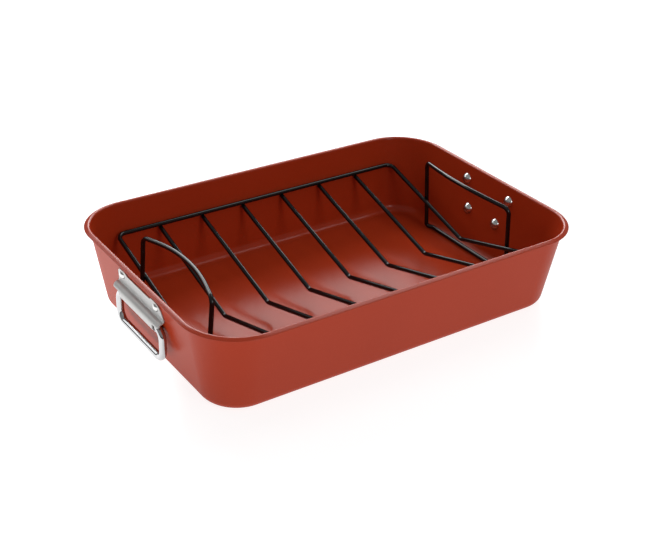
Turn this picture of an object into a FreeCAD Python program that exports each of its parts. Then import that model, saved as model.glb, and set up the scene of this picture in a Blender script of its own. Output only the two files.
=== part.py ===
import FreeCAD, Part
import math
import os

# Roasting pan with a lift-out wire rack.
#
# Frame: millimetres, +Z up, X along the long side of the pan, Y across it.
# The origin is the centre of the pan's underside, on the shelf it stands on.
# The pan is one pressed sheet. A hooded bracket is riveted to each short wall,
# and a wire bail hangs in it. The rack stands on the pan floor by its end loops.

# ---------------------------------------------------------------- pan
PAN_LENGTH = 420.0          # over the rim
PAN_WIDTH = 289.0           # over the rim
PAN_HEIGHT = 85.0           # shelf to the crest of the rim
PAN_SHEET = 1.0
WALL_SET_IN = 14.3          # how far each wall leans in from rim to floor
RIM_OVERHANG = 4.7          # rim edge beyond the wall
RIM_CORNER_RADIUS = 54.4    # outline of the rim seen from above
RIM_BEND_RADIUS = 1.6       # middle of the sheet, over the crest
RIM_DROOP_DEG = 24.0        # slope of the rim below level
FLOOR_BEND_RADIUS = 10.5    # outside of the bend from floor to wall

# ---------------------------------------------------------------- handles
BAIL_WIRE = 7.0
BAIL_WIDTH = 86.2           # between the middles of the two legs
BAIL_DROP = 31.0            # hinge line to the middle of the grip
BAIL_BEND_RADIUS = 10.5
BAIL_BELOW_RIM = 35.6       # hinge line below the crest of the rim
BAIL_WALL_GAP = 0.35        # hinge bar to the pan wall
BAIL_SEAT_GAP = 0.3         # hinge bar to the cup it rests in

BRACKET_SHEET = 1.2
HOOD_HEIGHT = 13.6          # outside of the rolled hood, top to bottom
HOOD_TOP_FLAT = 0.25        # level stretch between the hood's root and its shoulder
HOOD_PAST_LEG = 1.65        # end of the hood beyond the middle of the bail's leg
HOOD_ROOT_BEND = 2.0        # middle of the sheet, where the hood leaves the wall
HOOD_END_CORNER = 3.0       # where the ears run out into the hood's ends
CUP_PAST_BAR = 0.5          # the cup ends this far into the bail's bends
BAIL_OPEN_DEG = 85.0        # how far the bail lifts before its legs meet the hood
LIP_LEG_GAP = 0.3           # edge of the hood to a lifted leg
LIP_CORNER_SHARE = 0.75     # of the height of the hood's end
CUP_CORNER = 2.0
EAR_PAST_RIVET = 7.0        # top edge of the bracket, beyond the upper rivets
EAR_ABOVE_RIVET = 5.6
EAR_CORNER = 6.0
EAR_INSIDE_RIVET = 8.0      # each ear's inner end, on the middle's side of its rivet
EAR_DIP = 2.3               # the top edge drops this much between the two ears
EAR_DIP_CORNER = 3.0
FOOT_PAST_RIVET = 6.6       # bottom edge of the bracket, beyond the lower rivets
FOOT_BELOW_RIVET = 6.0
FOOT_CORNER = 6.0

RIVET_SHANK = 4.8
RIVET_HOLE_CLEARANCE = 0.1  # on the radius
RIVET_INNER_HEAD = 12.5
RIVET_INNER_RISE = 3.8
RIVET_OUTER_HEAD = 8.4
RIVET_OUTER_RISE = 2.4
UPPER_RIVET_INSET = 9.9     # from the middle of the bail's leg, towards the other
UPPER_RIVET_ABOVE_HINGE = 18.2
LOWER_RIVET_INSET = 21.1
LOWER_RIVET_BELOW_HINGE = 11.5

# ---------------------------------------------------------------- rack
RACK_WIRE = 4.5
WELD_SINK = 0.2             # how far crossing wires melt into each other
RACK_SHIFT_X = 3.9          # the rack stands a little off the pan's middle
RACK_SHIFT_Y = 1.0
FOOT_FLOOR_GAP = 0.3
FOOT_BEND_GAP = 0.1         # foot bar to where the floor starts to bend up
RAIL_WALL_GAP = 1.6         # rail to the nearer wall, measured level
RAIL_CORNER_GAP = 0.4       # bend of the rail to the pan's corner, measured level
RAIL_ABOVE_FLOOR = 54.3
END_V_ABOVE_FLOOR = 17.4
INNER_V_COUNT = 6
INNER_V_ABOVE_FLOOR = 13.0
INNER_V_END_PAST_RAIL = 0.7
V_BEND_RADIUS = 9.0
RAIL_BEND_RADIUS = 8.0
LOOP_WIDTH_BASE = 131.6     # between the middles of the two uprights
LOOP_WIDTH_TOP = 132.8
LOOP_ABOVE_FLOOR = 80.3
LOOP_LEAN = 5.2             # the top leans in over the rack by this much
LOOP_BOW = 10.4             # the grip bows in over the rack
LOOP_ARCH = 4.1             # and up
LOOP_BEND_RADIUS = 7.0
LOOP_FOOT_RADIUS = 3.4
LOOP_TOE_OUT = 3.6          # the foot bar stands outside the uprights
LOOP_TOE_RUN = 6.5
LOOP_TOE_RADIUS = 3.4
GRIP_BEND_SHARE = 0.36      # where the grip's two shallow bends lie, from its middle

Vector = FreeCAD.Vector
UP = Vector(0, 0, 1)
ALONG = Vector(1, 0, 0)
ACROSS = Vector(0, 1, 0)
SMALLEST = 1e-6


# ---------------------------------------------------------------- shared shapes
def bend(before, corner, after, radius):
    """Start, middle, end and centre of the arc that rounds a corner."""
    into = (before - corner).normalize()
    out = (after - corner).normalize()
    half_opening = into.getAngle(out) / 2
    tangent = radius / math.tan(half_opening)
    bisector = (into + out).normalize()
    centre = corner + bisector * (radius / math.sin(half_opening))
    return {
        "start": corner + into * tangent,
        "middle": centre - bisector * radius,
        "end": corner + out * tangent,
        "centre": centre,
    }


def line(start, end):
    """One straight edge, or none where two bends meet."""
    if start.distanceToPoint(end) < SMALLEST:
        return []
    return [Part.LineSegment(start, end).toShape()]


def rounded_outline(corners):
    """Closed wire through (point, radius) corners, each rounded by its radius."""
    edges = []
    count = len(corners)
    bends = []
    for index, (point, radius) in enumerate(corners):
        before = corners[index - 1][0]
        after = corners[(index + 1) % count][0]
        bends.append(bend(before, point, after, radius))
    for index, here in enumerate(bends):
        following = bends[(index + 1) % count]
        edges.append(Part.Arc(here["start"], here["middle"], here["end"]).toShape())
        edges += line(here["end"], following["start"])
    return Part.Wire(edges)


def sheet_section(path, thickness, normal, round_end=False):
    """Face of a bent sheet whose middle follows (point, radius) corners in a plane."""
    half = thickness / 2
    points = [point for point, radius in path]
    first = (points[1] - points[0]).normalize().cross(normal)
    last = (points[-1] - points[-2]).normalize().cross(normal)
    sides = {}
    for side in (1, -1):
        edges = []
        here = points[0] + first * (side * half)
        for index in range(1, len(path) - 1):
            arc = bend(points[index - 1], points[index], points[index + 1], path[index][1])
            before = (points[index] - points[index - 1]).normalize().cross(normal)
            after = (points[index + 1] - points[index]).normalize().cross(normal)
            start = arc["start"] + before * (side * half)
            middle = arc["middle"] + (before + after).normalize() * (side * half)
            end = arc["end"] + after * (side * half)
            edges += line(here, start)
            edges.append(Part.Arc(start, middle, end).toShape())
            here = end
        end = points[-1] + last * (side * half)
        edges += line(here, end)
        sides[side] = (edges, end)
    caps = line(points[0] + first * half, points[0] - first * half)
    if round_end:
        tip = points[-1] + (points[-1] - points[-2]).normalize() * half
        caps.append(Part.Arc(sides[1][1], tip, sides[-1][1]).toShape())
    else:
        caps += line(sides[1][1], sides[-1][1])
    edges = sides[1][0] + sides[-1][0] + caps
    return Part.Face(Part.Wire(Part.__sortEdges__(edges)))


def round_bar(start, end, radius):
    run = end - start
    return Part.makeCylinder(radius, run.Length, start, run)


def round_bend(arc, radius):
    """The stretch of wire round one bend."""
    start_arm = arc["start"] - arc["centre"]
    end_arm = arc["end"] - arc["centre"]
    axis = start_arm.cross(end_arm).normalize()
    heading = axis.cross(start_arm)
    disc = Part.Face(Part.Wire(Part.makeCircle(radius, arc["start"], heading)))
    turn = math.degrees(start_arm.getAngle(end_arm))
    return disc.revolve(arc["centre"], axis, turn)


def bent_wire(corners, diameter, closed):
    """Round wire whose middle follows (point, radius) corners; ends are square cut."""
    radius = diameter / 2
    count = len(corners)
    inner = range(count) if closed else range(1, count - 1)
    bends = {}
    for index in inner:
        before = corners[index - 1][0]
        after = corners[(index + 1) % count][0]
        bends[index] = bend(before, corners[index][0], after, corners[index][1])
    pieces = [round_bend(bends[index], radius) for index in inner]
    for index in range(count if closed else count - 1):
        following = (index + 1) % count
        start = bends[index]["end"] if index in bends else corners[index][0]
        end = bends[following]["start"] if following in bends else corners[following][0]
        if start.distanceToPoint(end) > SMALLEST:
            pieces.append(round_bar(start, end, radius))
    return pieces[0].multiFuse(pieces[1:]).removeSplitter()


def mirrored_x(shape):
    return shape.mirror(Vector(0, 0, 0), ALONG)


# ---------------------------------------------------------------- pan
DRAFT = math.atan(WALL_SET_IN / PAN_HEIGHT)
CORNER_X = PAN_LENGTH / 2 - RIM_CORNER_RADIUS
CORNER_Y = PAN_WIDTH / 2 - RIM_CORNER_RADIUS
FLOOR_TOP = PAN_SHEET
WALL_FOOT = RIM_CORNER_RADIUS - RIM_OVERHANG - WALL_SET_IN


def wall_reach(height):
    """Outside of the wall from the corner's upright axis, at a height."""
    return WALL_FOOT + height * math.tan(DRAFT)


def wall_middle_reach(height):
    """Middle of the wall's sheet from the corner's upright axis, at a height."""
    return wall_reach(height) - PAN_SHEET / 2 / math.cos(DRAFT)


def wall_inner_reach(height):
    """Inside of the wall from the corner's upright axis, at a height."""
    return wall_reach(height) - PAN_SHEET / math.cos(DRAFT)


def flat_floor_reach():
    """Edge of the flat floor from the corner's upright axis."""
    bend_start = (FLOOR_BEND_RADIUS - PAN_SHEET) * math.tan(math.pi / 4 - DRAFT / 2)
    return wall_inner_reach(FLOOR_TOP) - bend_start


def pan_section(axis_point, outward):
    """Section of the pan from a corner's axis to the rim, in an upright plane."""
    droop = math.radians(RIM_DROOP_DEG)
    half = PAN_SHEET / 2
    crest_height = PAN_HEIGHT - half - RIM_BEND_RADIUS
    crest_reach = wall_middle_reach(crest_height) + RIM_BEND_RADIUS / math.cos(DRAFT)
    edge_reach = RIM_CORNER_RADIUS - half

    # The rim's middle line lies one bend radius off the crest's centre. It meets
    # the wall's middle line at the corner of the bend.
    wall_at_crest = wall_middle_reach(crest_height) - crest_reach
    rise = (RIM_BEND_RADIUS - wall_at_crest * math.sin(droop)) / (
        math.tan(DRAFT) * math.sin(droop) + math.cos(droop))
    corner_height = crest_height + rise
    corner_reach = wall_middle_reach(corner_height)
    edge_height = corner_height - (edge_reach - corner_reach) * math.tan(droop)

    def at(reach, height):
        return axis_point + outward * reach + UP * height

    path = [
        (at(0, half), 0),
        (at(wall_middle_reach(half), half), FLOOR_BEND_RADIUS - half),
        (at(corner_reach, corner_height), RIM_BEND_RADIUS),
        (at(edge_reach, edge_height), 0),
    ]
    return sheet_section(path, PAN_SHEET, outward.cross(UP), round_end=True)


def make_pan(rivet_places):
    """Pressed pan: four straight walls, four round corners and the floor between."""
    pieces = []
    for side in (1, -1):
        end_section = pan_section(Vector(side * CORNER_X, -CORNER_Y, 0), ALONG * side)
        pieces.append(end_section.extrude(ACROSS * (2 * CORNER_Y)))
        long_section = pan_section(Vector(-CORNER_X, side * CORNER_Y, 0), ACROSS * side)
        pieces.append(long_section.extrude(ALONG * (2 * CORNER_X)))
    for quarter, (side_x, side_y) in enumerate(((1, 1), (-1, 1), (-1, -1), (1, -1))):
        axis_point = Vector(side_x * CORNER_X, side_y * CORNER_Y, 0)
        start = FreeCAD.Rotation(UP, 90 * quarter).multVec(ALONG)
        pieces.append(pan_section(axis_point, start).revolve(axis_point, UP, 90))
    pieces.append(Part.makeBox(
        2 * CORNER_X, 2 * CORNER_Y, PAN_SHEET, Vector(-CORNER_X, -CORNER_Y, 0)))
    pan = pieces[0].multiFuse(pieces[1:]).removeSplitter()
    holes = [rivet_hole(place, side) for place in rivet_places for side in (1, -1)]
    return pan.cut(holes)


# ---------------------------------------------------------------- handles
# The bracket and its rivets are set out on the right-hand short wall: "out" is
# square to the wall, "rise" runs up it, and the hinge line is the zero of rise.
WALL_OUT = Vector(math.cos(DRAFT), 0, -math.sin(DRAFT))
WALL_RISE = Vector(math.sin(DRAFT), 0, math.cos(DRAFT))
HINGE_OUT = BAIL_WIRE / 2 + BAIL_WALL_GAP
HINGE_HEIGHT = PAN_HEIGHT - BAIL_BELOW_RIM


def wall_rise(above_hinge):
    """Distance up the wall to the point this much higher than the hinge line."""
    return above_hinge / math.cos(DRAFT) + HINGE_OUT * math.tan(DRAFT)


def on_wall(out, across, rise):
    """Point on the right-hand short wall."""
    level = HINGE_HEIGHT + HINGE_OUT * math.sin(DRAFT)
    base = Vector(CORNER_X + wall_reach(level), 0, level)
    return base + WALL_OUT * out + ACROSS * across + WALL_RISE * rise


HINGE = on_wall(HINGE_OUT, 0, 0)
CUP_BEND = BAIL_WIRE / 2 + BAIL_SEAT_GAP + BRACKET_SHEET / 2
HOOD_DEPTH = HINGE_OUT + CUP_BEND + BRACKET_SHEET / 2
HOOD_HALF_WIDTH = BAIL_WIDTH / 2 + HOOD_PAST_LEG
CUP_HALF_WIDTH = BAIL_WIDTH / 2 - BAIL_BEND_RADIUS + CUP_PAST_BAR
UPPER_ACROSS = BAIL_WIDTH / 2 - UPPER_RIVET_INSET
LOWER_ACROSS = BAIL_WIDTH / 2 - LOWER_RIVET_INSET
EAR_HALF_WIDTH = UPPER_ACROSS + EAR_PAST_RIVET
FOOT_HALF_WIDTH = LOWER_ACROSS + FOOT_PAST_RIVET
UPPER_RISE = wall_rise(UPPER_RIVET_ABOVE_HINGE)
LOWER_RISE = wall_rise(-LOWER_RIVET_BELOW_HINGE)
RIVET_PLACES = {
    "upper_back": (UPPER_ACROSS, UPPER_RISE),
    "upper_front": (-UPPER_ACROSS, UPPER_RISE),
    "lower_back": (LOWER_ACROSS, LOWER_RISE),
    "lower_front": (-LOWER_ACROSS, LOWER_RISE),
}


def rivet_hole(place, side):
    across, rise = place
    inside = on_wall(-PAN_SHEET * 2, across, rise)
    depth = PAN_SHEET * 2 + BRACKET_SHEET * 2
    radius = RIVET_SHANK / 2 + RIVET_HOLE_CLEARANCE
    hole = Part.makeCylinder(radius, depth, inside, WALL_OUT)
    return hole if side > 0 else mirrored_x(hole)


def make_rivet(place):
    """Solid rivet: a high domed head in the pan, a low one on the bracket."""
    across, rise = place
    inner_face = -PAN_SHEET
    outer_face = BRACKET_SHEET
    inner_radius = RIVET_INNER_HEAD / 2
    outer_radius = RIVET_OUTER_HEAD / 2

    def at(out, radius):
        return on_wall(out, across + radius, rise)

    def dome(face, rise_of_dome, radius, direction):
        ball = (radius ** 2 + rise_of_dome ** 2) / (2 * rise_of_dome)
        half_angle = math.asin(radius / ball) / 2
        centre = face + direction * (rise_of_dome - ball)
        middle = at(centre + direction * ball * math.cos(half_angle), ball * math.sin(half_angle))
        top = at(face + direction * rise_of_dome, 0)
        return top, Part.Arc(top, middle, at(face, radius)).toShape()

    inner_top, inner_dome = dome(inner_face, RIVET_INNER_RISE, inner_radius, -1)
    outer_top, outer_dome = dome(outer_face, RIVET_OUTER_RISE, outer_radius, 1)
    shank = RIVET_SHANK / 2
    edges = [
        inner_dome,
        *line(at(inner_face, inner_radius), at(inner_face, shank)),
        *line(at(inner_face, shank), at(outer_face, shank)),
        *line(at(outer_face, shank), at(outer_face, outer_radius)),
        outer_dome,
        *line(outer_top, inner_top),
    ]
    section = Part.Face(Part.Wire(Part.__sortEdges__(edges)))
    return section.revolve(inner_top, WALL_OUT, 360)


def lip_rise():
    """Edge of the hood over the legs: just clear of a leg at its highest."""
    leg_slope = math.radians(BAIL_OPEN_DEG) + DRAFT - math.pi / 2
    leg_top = BAIL_WIRE / 2 / math.cos(leg_slope)
    return (HOOD_DEPTH - HINGE_OUT) * math.tan(leg_slope) + leg_top + LIP_LEG_GAP


def make_bracket():
    """Stamped bracket: flat on the wall, its hood rolled close round the hinge bar."""
    half = BRACKET_SHEET / 2
    hood_bottom = -CUP_BEND
    hood_top = hood_bottom + HOOD_HEIGHT - BRACKET_SHEET
    hood_front = HOOD_DEPTH - half
    shoulder_bend = hood_front - half - HOOD_ROOT_BEND - HOOD_TOP_FLAT
    ear_top = UPPER_RISE + EAR_ABOVE_RIVET
    ear_inner = UPPER_ACROSS - EAR_INSIDE_RIVET
    foot_bottom = LOWER_RISE - FOOT_BELOW_RIVET
    lip = lip_rise()
    lip_corner = (hood_top - lip) * LIP_CORNER_SHARE
    width = HOOD_HALF_WIDTH

    path = [
        (on_wall(half, -width, ear_top), 0),
        (on_wall(half, -width, hood_top), HOOD_ROOT_BEND),
        (on_wall(hood_front, -width, hood_top), shoulder_bend),
        (on_wall(hood_front, -width, hood_bottom), CUP_BEND),
        (on_wall(half, -width, hood_bottom), HOOD_ROOT_BEND),
        (on_wall(half, -width, foot_bottom), 0),
    ]
    rolled = sheet_section(path, BRACKET_SHEET, ACROSS).extrude(ACROSS * (2 * width))

    # One side of the blank's outline, from the dip in its top down to the foot.
    one_side = [
        (ear_inner - EAR_DIP, ear_top - EAR_DIP, EAR_DIP_CORNER),
        (ear_inner, ear_top, EAR_DIP_CORNER),
        (EAR_HALF_WIDTH, ear_top, EAR_CORNER),
        (HOOD_HALF_WIDTH, hood_top, HOOD_END_CORNER),
        (HOOD_HALF_WIDTH, lip, lip_corner),
        (CUP_HALF_WIDTH, lip, CUP_CORNER),
        (CUP_HALF_WIDTH, hood_bottom - HOOD_ROOT_BEND, CUP_CORNER),
        (FOOT_HALF_WIDTH, foot_bottom, FOOT_CORNER),
    ]
    corners = [(on_wall(0, across, rise), radius) for across, rise, radius in one_side]
    corners += [(on_wall(0, -across, rise), radius) for across, rise, radius in reversed(one_side)]
    blank = Part.Face(rounded_outline(corners)).extrude(WALL_OUT * HOOD_DEPTH)

    bracket = rolled.common(blank)
    bracket = bracket.cut([rivet_hole(place, 1) for place in RIVET_PLACES.values()])
    return bracket.removeSplitter()


def make_bail():
    """Closed wire bail that hangs plumb from its hinge bar."""
    half = BAIL_WIDTH / 2
    top = HINGE
    bottom = HINGE - UP * BAIL_DROP
    corners = [
        (top + ACROSS * half, BAIL_BEND_RADIUS),
        (top - ACROSS * half, BAIL_BEND_RADIUS),
        (bottom - ACROSS * half, BAIL_BEND_RADIUS),
        (bottom + ACROSS * half, BAIL_BEND_RADIUS),
    ]
    return bent_wire(corners, BAIL_WIRE, closed=True)


# ---------------------------------------------------------------- rack
RAIL_Z = FLOOR_TOP + RAIL_ABOVE_FLOOR
RAIL_Y = (CORNER_Y + wall_inner_reach(RAIL_Z) - RAIL_WALL_GAP
          - RACK_WIRE / 2 - RACK_SHIFT_Y)
END_V_Z = FLOOR_TOP + END_V_ABOVE_FLOOR
FOOT_Z = FLOOR_TOP + FOOT_FLOOR_GAP + RACK_WIRE / 2
WELD_PITCH = RACK_WIRE - WELD_SINK
LOOP_TOP_Z = FLOOR_TOP + LOOP_ABOVE_FLOOR
LOOP_SLOPE = LOOP_LEAN / (LOOP_TOP_Z - FOOT_Z)


def weld_height():
    """Where an upright crosses the arm of the end V."""
    return END_V_Z + (RAIL_Z - END_V_Z) * (LOOP_WIDTH_BASE / 2) / RAIL_Y


def end_v_reach():
    """How far the end V stands from the rack's middle: as far as the pan allows.

    The rail's bends have to clear the pan's round corners, and the foot bars
    have to stand on the flat of the floor.
    """
    from_axis = (wall_inner_reach(RAIL_Z) - RAIL_CORNER_GAP
                 - RACK_WIRE / 2 - RAIL_BEND_RADIUS)
    aside = RAIL_Y + RACK_SHIFT_Y - RAIL_BEND_RADIUS - CORNER_Y
    by_corner = math.sqrt(from_axis ** 2 - aside ** 2) + RAIL_BEND_RADIUS
    foot_to_v = LOOP_TOE_OUT + LOOP_SLOPE * (weld_height() - FOOT_Z) + WELD_PITCH
    by_floor = flat_floor_reach() - FOOT_BEND_GAP - foot_to_v
    return CORNER_X + min(by_corner, by_floor) - RACK_SHIFT_X


END_V_X = end_v_reach()
INNER_V_PITCH = 2 * END_V_X / (INNER_V_COUNT + 1)


def in_rack(x, y, z):
    """Point given from the rack's own middle."""
    return Vector(x + RACK_SHIFT_X, y + RACK_SHIFT_Y, z)


def make_frame_wire():
    """Perimeter wire: a straight rail along each side, a V across each end."""
    corners = []
    for side in (1, -1):
        corners += [
            (in_rack(side * END_V_X, side * RAIL_Y, RAIL_Z), RAIL_BEND_RADIUS),
            (in_rack(side * END_V_X, 0, END_V_Z), V_BEND_RADIUS),
            (in_rack(side * END_V_X, -side * RAIL_Y, RAIL_Z), RAIL_BEND_RADIUS),
        ]
    return bent_wire(corners, RACK_WIRE, closed=True)


def make_inner_v(index):
    """Loose V wire, welded by its ends under both rails."""
    x = (index - (INNER_V_COUNT - 1) / 2) * INNER_V_PITCH
    end_y = RAIL_Y + INNER_V_END_PAST_RAIL
    end_z = RAIL_Z - WELD_PITCH
    bottom_z = FLOOR_TOP + INNER_V_ABOVE_FLOOR
    corners = [
        (in_rack(x, end_y, end_z), 0),
        (in_rack(x, 0, bottom_z), V_BEND_RADIUS),
        (in_rack(x, -end_y, end_z), 0),
    ]
    return bent_wire(corners, RACK_WIRE, closed=False)


def make_end_loop():
    """Right-hand end loop: foot bar, two uprights and a bowed grip, in one wire."""
    base_y = LOOP_WIDTH_BASE / 2
    top_y = LOOP_WIDTH_TOP / 2

    # The uprights are welded outside the end V's arms, where the arms cross them.
    base_x = END_V_X + WELD_PITCH + LOOP_SLOPE * (weld_height() - FOOT_Z)
    top_x = base_x - LOOP_LEAN
    bend_y = top_y * GRIP_BEND_SHARE
    grip_x = top_x - LOOP_BOW
    grip_z = LOOP_TOP_Z + LOOP_ARCH
    grip_radius = grip_bend_radius(top_y, bend_y)
    toe_x = base_x + LOOP_TOE_OUT

    corners = [
        (in_rack(base_x, base_y, FOOT_Z), LOOP_FOOT_RADIUS),
        (in_rack(top_x, top_y, LOOP_TOP_Z), LOOP_BEND_RADIUS),
        (in_rack(grip_x, bend_y, grip_z), grip_radius),
        (in_rack(grip_x, -bend_y, grip_z), grip_radius),
        (in_rack(top_x, -top_y, LOOP_TOP_Z), LOOP_BEND_RADIUS),
        (in_rack(base_x, -base_y, FOOT_Z), LOOP_FOOT_RADIUS),
        (in_rack(toe_x, -base_y + LOOP_TOE_RUN, FOOT_Z), LOOP_TOE_RADIUS),
        (in_rack(toe_x, base_y - LOOP_TOE_RUN, FOOT_Z), LOOP_TOE_RADIUS),
    ]
    return bent_wire(corners, RACK_WIRE, closed=True)


def grip_bend_radius(top_y, bend_y):
    """Radius that lets the grip's two shallow bends run almost into each other."""
    rise = math.hypot(LOOP_BOW, LOOP_ARCH)
    turn = math.atan2(rise, top_y - bend_y)
    return 0.95 * bend_y / math.tan(turn / 2)


def mirrored_in_rack(shape):
    """The same piece at the rack's other end."""
    return shape.mirror(in_rack(0, 0, 0), ALONG)


# ---------------------------------------------------------------- build
def build():
    nodes = {"pan_body": make_pan(RIVET_PLACES.values())}
    right_pieces = {
        "handle_bracket": make_bracket(),
        "handle_bail": make_bail(),
    }
    for name, place in RIVET_PLACES.items():
        right_pieces["rivet_" + name] = make_rivet(place)
    for name, shape in right_pieces.items():
        nodes[name + "_right"] = shape
        nodes[name + "_left"] = mirrored_x(shape)
    nodes["rack_frame_wire"] = make_frame_wire()
    for index in range(INNER_V_COUNT):
        nodes["rack_v_wire_" + str(index + 1)] = make_inner_v(index)
    loop = make_end_loop()
    nodes["rack_end_loop_right"] = loop
    nodes["rack_end_loop_left"] = mirrored_in_rack(loop)
    return nodes


os.makedirs("parts", exist_ok=True)
for node_name, node_shape in build().items():
    node_shape.exportStep("parts/" + node_name + ".step")
    print(node_name, "solids", len(node_shape.Solids), "valid", node_shape.isValid(),
          "volume", round(node_shape.Volume, 1))
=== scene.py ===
import bpy
import bmesh
import math
from mathutils import Euler, Matrix, Vector


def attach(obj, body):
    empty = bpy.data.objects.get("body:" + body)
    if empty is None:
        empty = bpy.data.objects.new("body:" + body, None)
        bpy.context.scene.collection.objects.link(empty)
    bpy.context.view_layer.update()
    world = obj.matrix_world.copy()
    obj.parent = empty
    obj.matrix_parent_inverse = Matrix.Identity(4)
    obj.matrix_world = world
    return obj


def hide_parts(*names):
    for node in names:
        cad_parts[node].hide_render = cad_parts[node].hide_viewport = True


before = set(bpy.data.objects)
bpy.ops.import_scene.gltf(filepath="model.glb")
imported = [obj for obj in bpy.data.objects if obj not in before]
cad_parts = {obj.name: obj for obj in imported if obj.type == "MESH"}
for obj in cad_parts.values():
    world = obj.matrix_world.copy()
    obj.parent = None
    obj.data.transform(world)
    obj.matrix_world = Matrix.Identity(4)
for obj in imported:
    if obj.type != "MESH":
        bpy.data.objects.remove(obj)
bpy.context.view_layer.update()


# ------------------------------------------------------------------ camera
# Where the photographer stood: left of the front corner and well above the
# rim, with a short telephoto lens and the horizon tilted by a degree or two.
LOOK_AT = Vector((0.0, 0.0, 0.045))
STAND_LEFT_DEG = 34.85
STAND_ABOVE_DEG = 28.75
TILT_DEG = 1.87
STAND_OFF = 1.1805
SENSOR_WIDTH = 36.0
PHOTO_WIDTH_PX = 650
FOCAL_LENGTH_PX = 1201.61
SHIFT_RIGHT = -0.0047
SHIFT_UP = -0.0281

left_turn = math.radians(-STAND_LEFT_DEG)
above = math.radians(STAND_ABOVE_DEG)
tilt = math.radians(TILT_DEG)
backwards = Vector((math.sin(left_turn) * math.cos(above),
                    -math.cos(left_turn) * math.cos(above), math.sin(above)))
level_right = Vector((math.cos(left_turn), math.sin(left_turn), 0.0))
level_up = backwards.cross(level_right)
camera_right = level_right * math.cos(tilt) + level_up * math.sin(tilt)
camera_up = level_up * math.cos(tilt) - level_right * math.sin(tilt)

camera_data = bpy.data.cameras.new("camera")
camera_data.sensor_width = SENSOR_WIDTH
camera_data.lens = FOCAL_LENGTH_PX / PHOTO_WIDTH_PX * SENSOR_WIDTH
camera_data.shift_x = SHIFT_RIGHT
camera_data.shift_y = SHIFT_UP
camera = bpy.data.objects.new("camera", camera_data)
camera.matrix_world = Matrix.Translation(LOOK_AT + backwards * STAND_OFF) @ Matrix(
    (camera_right, camera_up, backwards)).transposed().to_4x4()
bpy.context.scene.collection.objects.link(camera)
bpy.context.scene.camera = camera


# ------------------------------------------------------------------ studio
# A white table in a dim room, with painted light: it glows a little all over
# and more at its left end, a painted pool of light. The main soft box hangs high on
# the right, three wide panels stand in an arc behind, and a small one fills in from the front.
class Graph:
    """Nodes of one tree. Every node comes from node()."""

    def __init__(self, tree):
        self.tree = tree
        self.tree.nodes.clear()

    def node(self, kind, settings=None, sockets=None):
        made = self.tree.nodes.new(kind)
        for key, setting in (settings or {}).items():
            setattr(made, key, setting)
        for key, value in (sockets or {}).items():
            self.feed(made.inputs[key], value)
        return made

    def feed(self, socket, value):
        if isinstance(value, Value):
            value = value.socket
        if isinstance(value, bpy.types.Node):
            value = value.outputs[0]
        if isinstance(value, bpy.types.NodeSocket):
            self.tree.links.new(value, socket)
        else:
            socket.default_value = value


class Value:
    """A number that varies over a surface. Sums and products of it add Math nodes."""

    def __init__(self, graph, socket):
        self.graph = graph
        self.socket = socket

    def math(self, operation, *others):
        terms = dict(enumerate(others))
        made = self.graph.node("ShaderNodeMath", {"operation": operation}, terms)
        return Value(self.graph, made.outputs[0])

    def __add__(self, other):
        return self.math("ADD", self, other)

    def __radd__(self, other):
        return self.math("ADD", other, self)

    def __sub__(self, other):
        return self.math("SUBTRACT", self, other)

    def __rsub__(self, other):
        return self.math("SUBTRACT", other, self)

    def __mul__(self, other):
        return self.math("MULTIPLY", self, other)

    def __rmul__(self, other):
        return self.math("MULTIPLY", other, self)

    def rise(self, low, high):
        """0 up to low, 1 from high, and a smooth step between them."""
        made = self.graph.node(
            "ShaderNodeMapRange", {"interpolation_type": "SMOOTHSTEP"},
            {"Value": self, "From Min": low, "From Max": high})
        return Value(self.graph, made.outputs[0])


class Finish(Graph):
    """A surface finish: one Principled shader and the patterns that feed it."""

    def __init__(self, name, **constants):
        self.material = bpy.data.materials.new(name)
        self.material.use_nodes = True
        super().__init__(self.material.node_tree)
        self.surface = self.node("ShaderNodeBsdfPrincipled", sockets=constants)
        self.node("ShaderNodeOutputMaterial", sockets={"Surface": self.surface})
        self.place = self.node("ShaderNodeTexCoord").outputs["Object"]

    def along(self, axis):
        """The piece's own coordinate along one axis."""
        made = self.node("ShaderNodeSeparateXYZ", sockets={"Vector": self.place})
        return Value(self, made.outputs[axis])

    def drawn_out(self, share):
        """The piece's own coordinates, for a pattern drawn out along Y, as a grain is."""
        made = self.node("ShaderNodeMapping", sockets={
            "Vector": self.place, "Scale": (1.0, share, 1.0)})
        return made.outputs[0]

    def noise(self, scale, detail=2.0, roughness=0.5, place=None):
        made = self.node("ShaderNodeTexNoise", sockets={
            "Vector": place or self.place, "Scale": scale,
            "Detail": detail, "Roughness": roughness})
        return Value(self, made.outputs["Fac"])

    def blend(self, amount, first, second):
        """A colour between two, by an amount that varies over the surface."""
        made = self.node("ShaderNodeMix", {"data_type": "RGBA"})
        self.feed(made.inputs[0], amount)
        self.feed(made.inputs[6], first)
        self.feed(made.inputs[7], second)
        return made.outputs[2]

    def bump(self, height, strength, depth):
        return self.node("ShaderNodeBump", sockets={
            "Height": height, "Strength": strength, "Distance": depth}).outputs[0]

    def dress(self, **patterns):
        """Feeds patterns to the shader. An underscore stands for a space."""
        for key, value in patterns.items():
            self.feed(self.surface.inputs[key.replace("_", " ")], value)
        return self.material


SAME_PLACE = 1e-7


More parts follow.
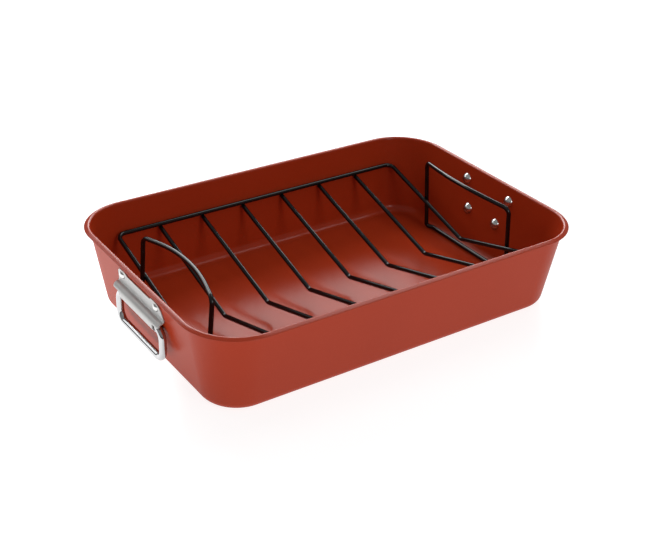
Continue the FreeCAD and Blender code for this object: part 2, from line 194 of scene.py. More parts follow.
def add_mesh(name, points, faces, material, smooth=True):
    """A mesh object at the origin, with its faces turned outwards."""
    mesh = bpy.data.meshes.new(name)
    mesh.from_pydata([tuple(point) for point in points], [], faces)
    shell = bmesh.new()
    shell.from_mesh(mesh)
    bmesh.ops.remove_doubles(shell, verts=shell.verts, dist=SAME_PLACE)
    bmesh.ops.recalc_face_normals(shell, faces=shell.faces)
    shell.to_mesh(mesh)
    shell.free()
    mesh.polygons.foreach_set("use_smooth", [smooth] * len(mesh.polygons))
    mesh.materials.append(material)
    made = bpy.data.objects.new(name, mesh)
    bpy.context.scene.collection.objects.link(made)
    return made


def grey(level):
    return (level, level, level, 1.0)


TABLE_HALF = 14.0
TABLE_BELOW = 0.0002
TABLE_GLOW = 0.86
LEFT_END_PAINTED_GLOW = 1.55
GLOW_HEADING = (0.85, -0.5)
GLOW_FROM, GLOW_TO = -0.195, -0.125

table_paint = Finish(
    "white_table_painted_glow", **{"Roughness": 0.55, "Emission Strength": TABLE_GLOW})
table_mottle = table_paint.noise(3.0)
from_left_end = (GLOW_HEADING[0] * table_paint.along("X")
                 + GLOW_HEADING[1] * table_paint.along("Y"))
# Painted light: the table's emission glows evenly, and brighter towards its left end as a painted
# pool of light.
table_paint.dress(
    Base_Color=table_paint.blend(table_mottle, grey(0.27), grey(0.29)),
    Emission_Color=table_paint.blend(
        from_left_end.rise(GLOW_FROM, GLOW_TO), grey(LEFT_END_PAINTED_GLOW), grey(1.0)))
table = add_mesh(
    "white_table",
    [(-TABLE_HALF, -TABLE_HALF, -TABLE_BELOW), (TABLE_HALF, -TABLE_HALF, -TABLE_BELOW),
     (TABLE_HALF, TABLE_HALF, -TABLE_BELOW), (-TABLE_HALF, TABLE_HALF, -TABLE_BELOW)],
    [(0, 1, 2, 3)], table_paint.material, smooth=False)

LOW_ROOM_LIGHT = 0.03
HIGH_ROOM_LIGHT = 0.30
ROOM_FADE_FROM, ROOM_FADE_TO = 0.06, 0.30

surround = bpy.data.worlds.new("dim_studio")
surround.use_nodes = True
room = Graph(surround.node_tree)
heading = room.node("ShaderNodeTexCoord").outputs["Generated"]
height = Value(room, room.node("ShaderNodeSeparateXYZ", sockets={"Vector": heading}).outputs["Z"])
room_share = height.rise(ROOM_FADE_FROM, ROOM_FADE_TO)
room_light = room.node("ShaderNodeBackground", sockets={
    "Color": grey(1.0),
    "Strength": LOW_ROOM_LIGHT + room_share * (HIGH_ROOM_LIGHT - LOW_ROOM_LIGHT)})
room.node("ShaderNodeOutputWorld", sockets={"Surface": room_light})
bpy.context.scene.world = surround
bpy.context.scene.view_settings.view_transform = "Standard"

AIM = Vector((0.0, 0.0, 0.0))
for name, place, size, watts in (
        ("main_soft_box", (0.95, 0.23, 1.63), (0.9, 0.7), 5.5),
        ("back_panel", (0.95, 1.37, 0.92), (1.4, 0.55), 15.0),
        ("upper_back_panel", (0.15, 1.35, 1.35), (1.2, 0.6), 12.7),
        ("left_back_panel", (-0.95, 1.42, 1.0), (1.0, 0.6), 2.8),
        ("front_fill", (0.1, -1.6, 0.9), (0.5, 0.5), 5.0)):
    panel = bpy.data.lights.new(name, "AREA")
    panel.shape = "RECTANGLE"
    panel.size, panel.size_y = size
    panel.energy = watts
    lamp = bpy.data.objects.new(name, panel)
    lamp.location = place
    lamp.rotation_euler = (AIM - Vector(place)).to_track_quat("-Z", "Y").to_euler()
    bpy.context.scene.collection.objects.link(lamp)


# ------------------------------------------------------------------ pan
# One deep-drawn sheet of 1 mm steel with leaning walls, wide round corners and
# a rolled-out rim, coated inside and out with a terracotta non-stick finish.
MM = 0.001
SHEET = 1.0 * MM
RIM_LENGTH = 420.0 * MM
RIM_WIDTH = 289.0 * MM
PAN_DEPTH = 85.0 * MM
WALL_SET_IN = 14.3 * MM
RIM_OVERHANG = 4.7 * MM
RIM_CORNER = 54.4 * MM
RIM_BEND = 1.6 * MM
RIM_DROOP = math.radians(24.0)
FLOOR_BEND = 10.5 * MM
CORNER_STEPS = 28
BEND_STEPS = 12
EDGE_STEPS = 8
FLOOR_RING_OUTER = 1.0 * MM
FLOOR_RING_INNER = 4.0 * MM

DRAFT = math.atan(WALL_SET_IN / PAN_DEPTH)
CORNER_X = RIM_LENGTH / 2 - RIM_CORNER
CORNER_Y = RIM_WIDTH / 2 - RIM_CORNER
WALL_FOOT = RIM_CORNER - RIM_OVERHANG - WALL_SET_IN


def wall_reach(height):
    """Outside of the wall from the corner's upright axis."""
    return WALL_FOOT + height * math.tan(DRAFT)


def bent_line(corners, aside, steps):
    """Points of a bent line in a plane, moved aside; corners are ((x, y), radius)."""
    points = []
    for index, (here, radius) in enumerate(corners):
        here = Vector(here)
        ahead = Vector(corners[min(index + 1, len(corners) - 1)][0]) - here
        behind = here - Vector(corners[max(index - 1, 0)][0])
        if not radius:
            heading = (ahead if ahead.length else behind).normalized()
            points.append(here + Vector((-heading.y, heading.x)) * aside)
            continue
        behind.normalize()
        ahead.normalize()
        turn = math.atan2(behind.x * ahead.y - behind.y * ahead.x, behind.dot(ahead))
        side = math.copysign(1.0, turn)
        start = here - behind * (radius * math.tan(abs(turn) / 2))
        centre = start + Vector((-behind.y, behind.x)) * (radius * side)
        arm = (start - centre).normalized() * (radius - side * aside)
        for step in range(steps + 1):
            points.append(centre + Matrix.Rotation(turn * step / steps, 2) @ arm)
    return points


half_sheet = SHEET / 2
crest_height = PAN_DEPTH - half_sheet - RIM_BEND
wall_middle = WALL_FOOT - half_sheet / math.cos(DRAFT)
wall_at_crest = -RIM_BEND / math.cos(DRAFT)
crest_rise = (RIM_BEND - wall_at_crest * math.sin(RIM_DROOP)) / (
    math.tan(DRAFT) * math.sin(RIM_DROOP) + math.cos(RIM_DROOP))
bend_height = crest_height + crest_rise
bend_reach = wall_middle + bend_height * math.tan(DRAFT)
edge_reach = RIM_CORNER - half_sheet
edge_height = bend_height - (edge_reach - bend_reach) * math.tan(RIM_DROOP)
floor_edge = wall_middle + half_sheet * math.tan(DRAFT)
flat_edge = floor_edge - (FLOOR_BEND - half_sheet) * math.tan(math.pi / 4 - DRAFT / 2)
section = [((flat_edge - FLOOR_RING_INNER, half_sheet), 0),
           ((flat_edge - FLOOR_RING_OUTER, half_sheet), 0),
           ((floor_edge, half_sheet), FLOOR_BEND - half_sheet),
           ((bend_reach, bend_height), RIM_BEND),
           ((edge_reach, edge_height), 0)]
inside = bent_line(section, half_sheet, BEND_STEPS)
outside = bent_line(section, -half_sheet, BEND_STEPS)
edge_out = Vector((math.cos(RIM_DROOP), -math.sin(RIM_DROOP)))
edge_up = Vector((math.sin(RIM_DROOP), math.cos(RIM_DROOP)))
edge = []
for step in range(1, EDGE_STEPS):
    angle = math.pi * step / EDGE_STEPS
    edge.append(Vector((edge_reach, edge_height)) + half_sheet * (
        edge_up * math.cos(angle) + edge_out * math.sin(angle)))
skin = inside + edge + outside[::-1]


def rounded_ring(reach, height):
    """The outline that is this far out from the four corner axes."""
    ring = []
    for quarter, (side_x, side_y) in enumerate(((1, 1), (-1, 1), (-1, -1), (1, -1))):
        for step in range(CORNER_STEPS + 1):
            angle = math.pi / 2 * (quarter + step / CORNER_STEPS)
            ring.append((side_x * CORNER_X + reach * math.cos(angle),
                         side_y * CORNER_Y + reach * math.sin(angle), height))
    return ring


pan_points = [point for reach, height in skin for point in rounded_ring(reach, height)]
ring_size = 4 * (CORNER_STEPS + 1)
pan_faces = [tuple(range(ring_size)),
             tuple(range((len(skin) - 1) * ring_size, len(skin) * ring_size))]
for level in range(len(skin) - 1):
    for step in range(ring_size):
        here, there = level * ring_size + step, level * ring_size + (step + 1) % ring_size
        pan_faces.append((here, there, there + ring_size, here + ring_size))

DEEP_TERRACOTTA = (0.37, 0.033, 0.008, 1.0)
LIGHT_TERRACOTTA = (0.43, 0.040, 0.0105, 1.0)
SPECK_COLOUR = (0.52, 0.075, 0.028, 1.0)
RIM_GLOSS_FROM = PAN_DEPTH - 2.6 * MM
RIM_GLOSS_FULL = PAN_DEPTH - 1.2 * MM

coating = Finish("terracotta_coating", **{"Specular IOR Level": 0.0, "Coat Roughness": 0.22})
rim_crest = coating.along("Z").rise(RIM_GLOSS_FROM, RIM_GLOSS_FULL)
cloud = coating.noise(9.0, detail=3.0)
speck = coating.noise(1400.0, detail=1.0).rise(0.60, 0.72)
peel = coating.noise(420.0, detail=2.0)
rub = coating.noise(38.0, detail=4.0, roughness=0.6)
clouded = coating.blend(cloud, DEEP_TERRACOTTA, LIGHT_TERRACOTTA)
pan_coating = coating.dress(
    Base_Color=coating.blend(speck * 0.25, clouded, SPECK_COLOUR),
    Roughness=0.46 + rub * 0.08 - speck * 0.05,
    Coat_Weight=0.36 + rim_crest * 0.42,
    Normal=coating.bump(peel, 0.05, 0.0004))

pan = add_mesh("pan_shell", pan_points, pan_faces, pan_coating)
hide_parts("pan_body")
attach(pan, "pan")


# ------------------------------------------------------------------ handle brackets
# A stamped piece of brushed stainless sheet on each short wall. Its middle is
# rolled into a hood that carries the bail; the flat parts above and below are
# riveted to the pan.
BAIL_WIRE = 7.0 * MM
BAIL_WIDTH = 86.2 * MM
BAIL_DROP = 31.0 * MM
BAIL_BEND = 10.5 * MM
BAIL_BELOW_RIM = 35.6 * MM
BAIL_OFF_WALL = 0.35 * MM
BAIL_PLAY = 0.3 * MM
LIFTED_ANGLE = math.radians(85.0)

BRACKET_SHEET = 1.2 * MM
HOOD_HEIGHT = 13.6 * MM
HOOD_TOP_FLAT = 0.25 * MM
HOOD_ROOT = 2.0 * MM
HOOD_PAST_LEG = 1.65 * MM
CUP_PAST_BAR = 0.5 * MM
CUP_CORNER = 2.0 * MM
LIP_CORNER_SHARE = 0.75
EAR_PAST_RIVET = 7.0 * MM
EAR_INSIDE_RIVET = 8.0 * MM
EAR_ABOVE_RIVET = 5.6 * MM
EAR_CORNER = 6.0 * MM
EAR_DIP = 2.3 * MM
EAR_DIP_CORNER = 3.0 * MM
FOOT_PAST_RIVET = 6.6 * MM
FOOT_BELOW_RIVET = 6.0 * MM
FOOT_CORNER = 6.0 * MM
UPPER_RIVET_ACROSS = 33.2 * MM
UPPER_RIVET_ABOVE = 18.2 * MM
LOWER_RIVET_ACROSS = 22.0 * MM
LOWER_RIVET_BELOW = 11.5 * MM

# The sheet is laid out in rows along its bent profile and columns across it.
ARC_STEPS = 16
PLATE_CORNER_ROWS = 8
HOOD_CORNER_ROWS = 6
ROW_CLEAR = 0.25 * MM
SEAM_LEAN = 5.0 * MM
EDGE_SOFTENING = 0.22 * MM

HINGE_HEIGHT = PAN_DEPTH - BAIL_BELOW_RIM
HINGE_OUT = BAIL_WIRE / 2 + BAIL_OFF_WALL
CUP_BEND = BAIL_WIRE / 2 + BAIL_PLAY + BRACKET_SHEET / 2
HOOD_HALF = BAIL_WIDTH / 2 + HOOD_PAST_LEG
CUP_HALF = BAIL_WIDTH / 2 - BAIL_BEND + CUP_PAST_BAR


def up_wall(height):
    """Rise along the leaning wall of a point at this height over the hinge."""
    return height / math.cos(DRAFT) + HINGE_OUT * math.tan(DRAFT)


UPPER_RIVET = (UPPER_RIVET_ACROSS, up_wall(UPPER_RIVET_ABOVE))
LOWER_RIVET = (LOWER_RIVET_ACROSS, up_wall(-LOWER_RIVET_BELOW))
EAR_HALF = UPPER_RIVET_ACROSS + EAR_PAST_RIVET
EAR_INNER = UPPER_RIVET_ACROSS - EAR_INSIDE_RIVET
EAR_TOP = UPPER_RIVET[1] + EAR_ABOVE_RIVET
FOOT_HALF = LOWER_RIVET_ACROSS + FOOT_PAST_RIVET
FOOT_BOTTOM = LOWER_RIVET[1] - FOOT_BELOW_RIVET
LIFTED_LEG_SLOPE = LIFTED_ANGLE + DRAFT - math.pi / 2


def on_wall(side, out, across, rise):
    """Point on a short wall: side is 1 on the right and -1 on the left."""
    level = HINGE_HEIGHT + HINGE_OUT * math.sin(DRAFT)
    x = CORNER_X + wall_reach(level) + out * math.cos(DRAFT) + rise * math.sin(DRAFT)
    return Vector((side * x, across, level - out * math.sin(DRAFT) + rise * math.cos(DRAFT)))


def corner_cut(past, radius):
    """How far a rounded corner draws the edge in, this far before its end."""
    left = radius - min(max(past, 0.0), radius)
    return radius - math.sqrt(radius ** 2 - left ** 2)


bracket_half = BRACKET_SHEET / 2
hood_bottom = -CUP_BEND
hood_top = hood_bottom + HOOD_HEIGHT - BRACKET_SHEET
hood_front = HINGE_OUT + CUP_BEND
shoulder_bend = hood_front - bracket_half - HOOD_ROOT - HOOD_TOP_FLAT
lip_rise = (CUP_BEND + bracket_half) * math.tan(LIFTED_LEG_SLOPE) + (
    BAIL_WIRE / 2 / math.cos(LIFTED_LEG_SLOPE)) + BAIL_PLAY
lip_corner = (hood_top - lip_rise) * LIP_CORNER_SHARE
profile = bent_line([((bracket_half, EAR_TOP), 0),
                     ((bracket_half, hood_top), HOOD_ROOT),
                     ((hood_front, hood_top), shoulder_bend),
                     ((hood_front, hood_bottom), CUP_BEND),
                     ((bracket_half, hood_bottom), HOOD_ROOT),
                     ((bracket_half, FOOT_BOTTOM), 0)], 0.0, ARC_STEPS)


def ear_half(rise):
    slant = (EAR_TOP - rise) / (EAR_TOP - hood_top)
    return EAR_HALF + (HOOD_HALF - EAR_HALF) * slant - corner_cut(EAR_TOP - rise, EAR_CORNER)


def ear_dip(across):
    """How far the plate's top edge lies below the two ears."""
    past = across - (EAR_INNER - EAR_DIP - EAR_DIP_CORNER * math.tan(math.pi / 8))
    short = EAR_INNER + EAR_DIP_CORNER * math.tan(math.pi / 8) - across
    arc = EAR_DIP_CORNER * math.sin(math.pi / 4)
    if past < arc:
        return EAR_DIP - corner_cut(EAR_DIP_CORNER - past, EAR_DIP_CORNER)
    if short < arc:
        return corner_cut(EAR_DIP_CORNER - short, EAR_DIP_CORNER)
    return EAR_INNER - across


def foot_half(rise):
    top = hood_bottom - HOOD_ROOT
    slant = max(0.0, (top - rise) / (top - FOOT_BOTTOM))
    return CUP_HALF + (FOOT_HALF - CUP_HALF) * slant - corner_cut(rise - FOOT_BOTTOM, FOOT_CORNER)


def cut_points(line, cuts, clear):
    """The line with a point at each height that it passes, and no other point so near one."""
    finer = [line[0]]
    for before, after in zip(line, line[1:]):
        passed = [cut for cut in cuts if min(before.y, after.y) < cut < max(before.y, after.y)]
        for cut in sorted(passed, reverse=before.y > after.y):
            finer.append(before.lerp(after, (cut - before.y) / (after.y - before.y)))
        finer.append(after)
    ends_and_cuts = [line[0], line[-1]] + [
        point for point in finer if any(abs(point.y - cut) < SAME_PLACE for cut in cuts)]
    return [point for point in finer if point in ends_and_cuts or min(
        (point - other).length for other in ends_and_cuts) > clear]


def corner_rows(edge, corner, steps):
    """Heights of the rows along a rounded corner; its first step is too short for a row."""
    return [edge + corner * (1 - math.cos(math.pi / 2 * step / steps))
            for step in range(2, steps + 1)]


cuts = corner_rows(EAR_TOP, -EAR_CORNER, PLATE_CORNER_ROWS)
cuts += corner_rows(FOOT_BOTTOM, FOOT_CORNER, PLATE_CORNER_ROWS)
cuts += [lip_rise] + corner_rows(lip_rise, lip_corner, HOOD_CORNER_ROWS)
cuts += corner_rows(lip_rise, -CUP_CORNER, HOOD_CORNER_ROWS)
profile = cut_points(profile, cuts, ROW_CLEAR)
lowest_lip = max(index for index, point in enumerate(profile)
                 if point.y >= lip_rise - SAME_PLACE)


def bracket_strip(side, rows, inner, outer, shares):
    """Points and faces of a strip of the sheet, between two edges, on both flanks."""
    points, faces = [], []
    columns = len(shares) - 1
    plate_foot = hood_top + HOOD_ROOT
    for flank in (1, -1):
        base = len(points)
        for row in rows:
            low, high = inner(row), outer(row)
            up_plate = max(0.0, (row.y - plate_foot) / (EAR_TOP - plate_foot))
            for share in shares:
                across = low + (high - low) * share
                rise = row.y - ear_dip(across) * up_plate
                points.append(on_wall(side, row.x, flank * across, rise))
        for index in range(len(rows) - 1):
            for column in range(columns):
                here = base + index * (columns + 1) + column
                faces.append((here, here + 1, here + columns + 2, here + columns + 1))
    return points, faces


def upper_edge(row):
    if row.y >= hood_top:
        return ear_half(row.y)
    return HOOD_HALF - corner_cut(row.y - lip_rise, lip_corner)


def cup_edge(row):
    return foot_half(row.y) + corner_cut(lip_rise - row.y, CUP_CORNER)


def seam(row):
    """Where the hood's free ends begin: at the cup's corner, and further in up the plate."""
    return CUP_HALF + CUP_CORNER - SEAM_LEAN * (row.y - lip_rise) / (EAR_TOP - lip_rise)


def middle_line(row):
    return 0.0


# Shares of a strip's width. The middle has its finest columns along the plate's dip.
MIDDLE_COLUMNS = [0.0, 0.22, 0.44, 0.62] + [0.70 + 0.01 * k for k in range(20)] + [0.95, 1.0]
END_COLUMNS = [0.0, 0.25, 0.5, 0.75, 1.0]


def make_bracket(name, side, material):
    strips = [
        (profile[:lowest_lip + 1], middle_line, seam, MIDDLE_COLUMNS),
        (profile[lowest_lip:], middle_line, cup_edge, MIDDLE_COLUMNS),
        (profile[:lowest_lip + 1], seam, upper_edge, END_COLUMNS)]
    points, faces = [], []
    for rows, inner, outer, shares in strips:
        strip_points, strip_faces = bracket_strip(side, rows, inner, outer, shares)
        faces += [tuple(len(points) + corner for corner in face) for face in strip_faces]
        points += strip_points
    made = add_mesh(name, points, faces, material)
    thickness = made.modifiers.new("sheet", "SOLIDIFY")
    thickness.thickness = BRACKET_SHEET
    thickness.offset = 0.0
    thickness.use_even_offset = True
    soften = made.modifiers.new("deburred_edges", "BEVEL")
    soften.width = EDGE_SOFTENING
    soften.segments = 3
    soften.limit_method = "ANGLE"
    soften.angle_limit = math.radians(50.0)
    soften.harden_normals = True
    return made


DULL_STAINLESS = (0.48, 0.48, 0.475, 1.0)
CLEAR_STAINLESS = (0.56, 0.56, 0.55, 1.0)

steel = Finish("brushed_stainless", **{"Metallic": 1.0})
long_grain = steel.noise(900.0, detail=3.0, roughness=0.7, place=steel.drawn_out(0.012))
fine_grain = steel.noise(2600.0, detail=2.0, place=steel.drawn_out(0.02))
bloom = steel.noise(45.0, detail=3.0)
bracket_steel = steel.dress(
    Base_Color=steel.blend(bloom, DULL_STAINLESS, CLEAR_STAINLESS),
    Roughness=0.44 + long_grain * 0.16 + bloom * 0.04,
    Normal=steel.bump(long_grain + fine_grain * 0.6, 0.12, 0.0002))

for side_name, side in (("left", -1), ("right", 1)):
    bracket = make_bracket("hooded_bracket_" + side_name, side, bracket_steel)
    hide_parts("handle_bracket_" + side_name)
    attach(bracket, "pan")


# ------------------------------------------------------------------ rivets
# Four solid stainless rivets hold each bracket: a high domed head inside the
# pan and a lower one, formed by the press, on the outside.
INNER_HEAD = 6.25 * MM
INNER_RISE = 3.8 * MM
OUTER_HEAD = 4.2 * MM
OUTER_RISE = 2.4 * MM
RIVET_SHANK = 2.4 * MM
HEAD_SUNK = 0.01 * MM
RIVET_SIDES = 40
INNER_HEAD_STEPS = 12
OUTER_HEAD_STEPS = 10


def dome(face, rise, radius, direction, steps):
    """Half section of a domed head, from its rim to its top."""
    ball = (radius ** 2 + rise ** 2) / (2 * rise)
    widest = math.asin(radius / ball)
    line = []
    for step in range(steps + 1):
        angle = widest * (1 - step / steps)
        height = rise - ball + ball * math.cos(angle)
        line.append((ball * math.sin(angle), face + direction * height))
    return line


def turned(name, half_section, sides, material):
    """A turned solid about Z; the half section runs from top to bottom."""
    points, faces = [], []
    for radius, z in half_section:
        for side in range(sides):
            angle = 2 * math.pi * side / sides
            points.append((radius * math.cos(angle), radius * math.sin(angle), z))
    for upper in range(0, len(points) - sides, sides):
        lower = upper + sides
        for side in range(sides):
            beside = (side + 1) % sides
            faces.append((upper + side, upper + beside, lower + beside, lower + side))
    return add_mesh(name, points, faces, material)


DULL_RIVET = (0.60, 0.60, 0.59, 1.0)
BRIGHT_RIVET = (0.68, 0.68, 0.67, 1.0)

polished = Finish("polished_rivet_steel", **{"Metallic": 1.0})
turned_mark = polished.noise(700.0, detail=2.0)
smear = polished.noise(160.0, detail=3.0)
rivet_steel = polished.dress(
    Base_Color=polished.blend(smear, DULL_RIVET, BRIGHT_RIVET),
    Roughness=0.13 + smear * 0.10,
    Normal=polished.bump(turned_mark, 0.05, 0.0001))

inner_dome = dome(-SHEET, INNER_RISE, INNER_HEAD, -1, INNER_HEAD_STEPS)
outer_dome = dome(BRACKET_SHEET, OUTER_RISE, OUTER_HEAD, 1, OUTER_HEAD_STEPS)
under_outer = BRACKET_SHEET - HEAD_SUNK
under_inner = HEAD_SUNK - SHEET
rivet_section = outer_dome[::-1] + [
    (OUTER_HEAD, under_outer), (RIVET_SHANK, under_outer),
    (RIVET_SHANK, under_inner), (INNER_HEAD, under_inner)] + inner_dome
rivet_pattern = turned("rivet_pattern", rivet_section, RIVET_SIDES, rivet_steel)


def run_nodes(name, base, build, inputs, material):
    """A new mesh from a base mesh and a tree that build() fills; inputs are its sizes."""
    tree = bpy.data.node_groups.new(name, "GeometryNodeTree")
    tree.interface.new_socket("Geometry", in_out="INPUT", socket_type="NodeSocketGeometry")
    tree.interface.new_socket("Geometry", in_out="OUTPUT", socket_type="NodeSocketGeometry")
    identifiers = {}
    for key, (socket_type, value) in inputs.items():
        socket = tree.interface.new_socket(key, in_out="INPUT", socket_type=socket_type)
        identifiers[socket.identifier] = value
    graph = Graph(tree)
    given = graph.node("NodeGroupInput").outputs
    shape = build(graph, given)
    real = graph.node("GeometryNodeRealizeInstances", sockets={"Geometry": shape})
    clad = graph.node("GeometryNodeSetMaterial", sockets={"Geometry": real, "Material": material})
    graph.node("NodeGroupOutput", sockets={"Geometry": clad})
    modifier = base.modifiers.new(name, "NODES")
    modifier.node_group = tree
    for identifier, value in identifiers.items():
        modifier[identifier] = value
    bpy.context.view_layer.update()
    seen = base.evaluated_get(bpy.context.evaluated_depsgraph_get())
    mesh = bpy.data.meshes.new_from_object(seen)
    base.modifiers.remove(modifier)
    bpy.data.objects.remove(base)
    shell = bmesh.new()
    shell.from_mesh(mesh)
    bmesh.ops.recalc_face_normals(shell, faces=shell.faces)
    shell.to_mesh(mesh)
    shell.free()
    mesh.polygons.foreach_set("use_smooth", [True] * len(mesh.polygons))
    made = bpy.data.objects.new(name, mesh)
    bpy.context.scene.collection.objects.link(made)
    return made


def base_mesh(name, points, edges=(), bends=None):
    mesh = bpy.data.meshes.new(name)
    mesh.from_pydata([tuple(point) for point in points], list(edges), [])
    if bends:
        mesh.attributes.new("bend", "FLOAT", "POINT").data.foreach_set("value", bends)
    made = bpy.data.objects.new(name, mesh)
    bpy.context.scene.collection.objects.link(made)
    return made


def set_rivets(graph, given):
    pattern = graph.node("GeometryNodeObjectInfo", sockets={"Object": given["Rivet"]})
    return graph.node("GeometryNodeInstanceOnPoints", sockets={
        "Points": given["Geometry"], "Instance": pattern.outputs["Geometry"],
        "Rotation": given["Lean"]})


for side_name, side in (("left", -1), ("right", 1)):
    seats = [on_wall(side, 0.0, flank * across, rise)
             for across, rise in (UPPER_RIVET, LOWER_RIVET) for flank in (1, -1)]
    lean = Euler((0.0, side * (math.pi / 2 + DRAFT), 0.0))
    rivets = run_nodes(
        "rivets_" + side_name, base_mesh("seats", seats), set_rivets,
        {"Rivet": ("NodeSocketObject", rivet_pattern), "Lean": ("NodeSocketRotation", lean)},
        rivet_steel)
    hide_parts(*("rivet_%s_%s" % (place, side_name) for place in (
        "upper_back", "upper_front", "lower_back", "lower_front")))
    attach(rivets, "pan")
bpy.data.objects.remove(rivet_pattern)


# ------------------------------------------------------------------ bails
# Each handle is a closed ring of 7 mm steel wire, bent to a rounded
# rectangle and chromed. Its upper bar turns in the bracket's hood.
def bend_wires(graph, given):
    """Rounds the corners of a bare path and gives it the wire's round section."""
    path = graph.node("GeometryNodeMeshToCurve", sockets={"Mesh": given["Geometry"]})
    bend = graph.node("GeometryNodeInputNamedAttribute", {"data_type": "FLOAT"}, {"Name": "bend"})
    rounded = graph.node("GeometryNodeFilletCurve", {"mode": "POLY"}, {
        "Curve": path, "Count": given["Bend Steps"], "Radius": bend})
    ring = graph.node("GeometryNodeCurvePrimitiveCircle", sockets={
        "Resolution": given["Sides"], "Radius": given["Wire Radius"]})
    return graph.node("GeometryNodeCurveToMesh", sockets={
        "Curve": rounded, "Profile Curve": ring.outputs[0], "Fill Caps": True})


def wire_base(name, paths):
    """Bare paths of (point, bend radius) corners; each is (corners, closed)."""
    points, edges, bends = [], [], []
    for corners, closed in paths:
        first = len(points)
        points += [corner for corner, bend in corners]
        bends += [bend for corner, bend in corners]
        edges += [(first + k, first + k + 1) for k in range(len(corners) - 1)]
        if closed:
            edges.append((first + len(corners) - 1, first))
    return base_mesh(name, points, edges, bends)


WIRE_SIDES = 20
BAIL_BEND_STEPS = 14


def make_wire(name, paths, diameter, steps, material):
    return run_nodes(name, wire_base("path", paths), bend_wires, {
        "Wire Radius": ("NodeSocketFloat", diameter / 2),
        "Bend Steps": ("NodeSocketInt", steps),
        "Sides": ("NodeSocketInt", WIRE_SIDES)}, material)


HAZED_CHROME = (0.47, 0.475, 0.485, 1.0)
CLEAR_CHROME = (0.53, 0.535, 0.54, 1.0)

chrome = Finish("bright_chrome", **{"Metallic": 1.0})
print_marks = chrome.noise(120.0, detail=4.0, roughness=0.65)
drawn_lines = chrome.noise(1500.0, detail=2.0, place=chrome.drawn_out(0.03))
bail_chrome = chrome.dress(
    Base_Color=chrome.blend(print_marks, HAZED_CHROME, CLEAR_CHROME),
    Roughness=0.07 + print_marks.rise(0.45, 0.75) * 0.10 + drawn_lines * 0.04,
    Normal=chrome.bump(drawn_lines, 0.03, 0.0001))

for side_name, side in (("left", -1), ("right", 1)):
    hinge = on_wall(side, HINGE_OUT, 0.0, 0.0)
    ring = [(hinge + Vector((0.0, flank * BAIL_WIDTH / 2, drop)), BAIL_BEND)
            for flank, drop in ((1, 0.0), (-1, 0.0), (-1, -BAIL_DROP), (1, -BAIL_DROP))]
    bail = make_wire("bail_" + side_name, [(ring, True)], BAIL_WIRE, BAIL_BEND_STEPS, bail_chrome)
    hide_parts("handle_bail_" + side_name)
    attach(bail, "bail_" + side_name)


# ------------------------------------------------------------------ rack
# Steel wire of 4.5 mm, welded and then coated black: one closed frame wire with
# a V at each end, six more Vs under its rails, and a loop at each end to lift it by.
RACK_WIRE = 4.5 * MM
WELD_DEPTH = 0.2 * MM
WELD_PITCH = RACK_WIRE - WELD_DEPTH
RACK_X = 3.9 * MM
RACK_Y = 1.0 * MM
RAIL_Y = 128.939 * MM
RAIL_Z = 55.3 * MM
END_V_X = 167.966 * MM
END_V_Z = 18.4 * MM
INNER_V_Z = 14.0 * MM
INNER_V_PAST = 0.7 * MM
V_COUNT = 6
V_BEND = 9.0 * MM
RAIL_BEND = 8.0 * MM
FOOT_Z = 3.55 * MM
LOOP_TOP_Z = 81.3 * MM
LOOP_BASE_HALF = 65.8 * MM
LOOP_TOP_HALF = 66.4 * MM
LOOP_LEAN = 5.2 * MM
LOOP_BOW = 10.4 * MM
LOOP_ARCH = 4.1 * MM
TOE_OUT = 3.6 * MM
TOE_RUN = 6.5 * MM
FOOT_BEND = 3.4 * MM
GRIP_CORNER = 7.0 * MM
GRIP_BEND_SHARE = 0.36
GRIP_BEND_FILL = 0.95
RACK_BEND_STEPS = 10
V_BEND_STEPS = 8

V_PITCH = 2 * END_V_X / (V_COUNT + 1)


def in_rack(x, y, z):
    return Vector((x + RACK_X, y + RACK_Y, z))


weld_z = END_V_Z + (RAIL_Z - END_V_Z) * LOOP_BASE_HALF / RAIL_Y
loop_slope = LOOP_LEAN / (LOOP_TOP_Z - FOOT_Z)
loop_base_x = END_V_X + WELD_PITCH + loop_slope * (weld_z - FOOT_Z)
loop_top_x = loop_base_x - LOOP_LEAN

DEEP_BLACK = (0.003, 0.003, 0.0035, 1.0)
THIN_BLACK = (0.007, 0.0065, 0.0065, 1.0)

enamel = Finish("black_wire_coating", **{
    "Specular IOR Level": 0.0, "Coat Weight": 0.75, "Coat Roughness": 0.07})
pool = enamel.noise(60.0, detail=3.0)
orange_peel = enamel.noise(650.0, detail=2.0)
rack_black = enamel.dress(
    Base_Color=enamel.blend(pool, DEEP_BLACK, THIN_BLACK),
    Roughness=0.26 + pool * 0.14,
    Normal=enamel.bump(orange_peel, 0.08, 0.0002))

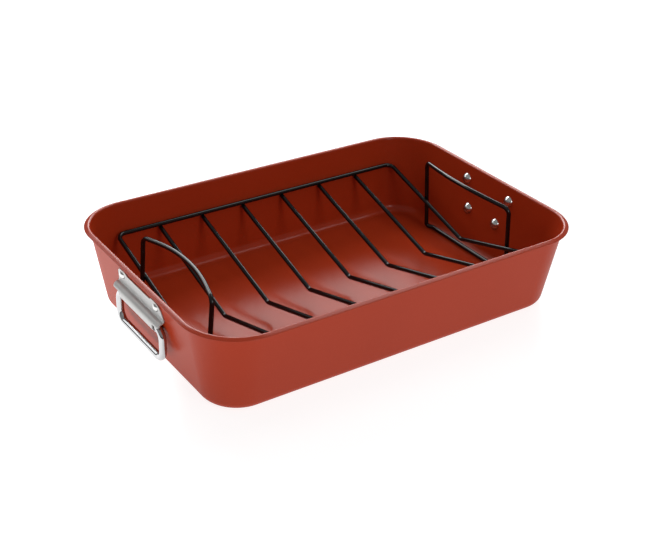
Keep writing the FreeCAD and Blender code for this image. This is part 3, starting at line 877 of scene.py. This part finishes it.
frame_path = []
for end in (1, -1):
    frame_path += [(in_rack(end * END_V_X, end * RAIL_Y, RAIL_Z), RAIL_BEND),
                   (in_rack(end * END_V_X, 0.0, END_V_Z), V_BEND),
                   (in_rack(end * END_V_X, -end * RAIL_Y, RAIL_Z), RAIL_BEND)]
rack_frame = make_wire("rack_frame", [(frame_path, True)], RACK_WIRE, RACK_BEND_STEPS, rack_black)
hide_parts("rack_frame_wire")

v_paths = []
v_half = RAIL_Y + INNER_V_PAST
v_end_z = RAIL_Z - WELD_PITCH
for index in range(V_COUNT):
    x = (index - (V_COUNT - 1) / 2) * V_PITCH
    v_paths.append(([(in_rack(x, v_half, v_end_z), 0.0),
                     (in_rack(x, 0.0, INNER_V_Z), V_BEND),
                     (in_rack(x, -v_half, v_end_z), 0.0)], False))
rack_vs = make_wire("rack_v_wires", v_paths, RACK_WIRE, V_BEND_STEPS, rack_black)
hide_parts(*("rack_v_wire_%d" % (index + 1) for index in range(V_COUNT)))

bend_y = LOOP_TOP_HALF * GRIP_BEND_SHARE
grip_turn = math.atan2(math.hypot(LOOP_BOW, LOOP_ARCH), LOOP_TOP_HALF - bend_y)
grip_bend = GRIP_BEND_FILL * bend_y / math.tan(grip_turn / 2)
grip_x = loop_top_x - LOOP_BOW
grip_z = LOOP_TOP_Z + LOOP_ARCH
toe_x = loop_base_x + TOE_OUT
toe_y = LOOP_BASE_HALF - TOE_RUN
for side_name, end in (("left", -1), ("right", 1)):
    loop_path = [(in_rack(end * x, y, z), bend) for x, y, z, bend in (
        (loop_base_x, LOOP_BASE_HALF, FOOT_Z, FOOT_BEND),
        (loop_top_x, LOOP_TOP_HALF, LOOP_TOP_Z, GRIP_CORNER),
        (grip_x, bend_y, grip_z, grip_bend),
        (grip_x, -bend_y, grip_z, grip_bend),
        (loop_top_x, -LOOP_TOP_HALF, LOOP_TOP_Z, GRIP_CORNER),
        (loop_base_x, -LOOP_BASE_HALF, FOOT_Z, FOOT_BEND),
        (toe_x, -toe_y, FOOT_Z, FOOT_BEND),
        (toe_x, toe_y, FOOT_Z, FOOT_BEND))]
    loop = make_wire(
        "rack_loop_" + side_name, [(loop_path, True)], RACK_WIRE, RACK_BEND_STEPS, rack_black)
    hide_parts("rack_end_loop_" + side_name)
    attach(loop, "rack")

for wires in (rack_frame, rack_vs):
    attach(wires, "rack")
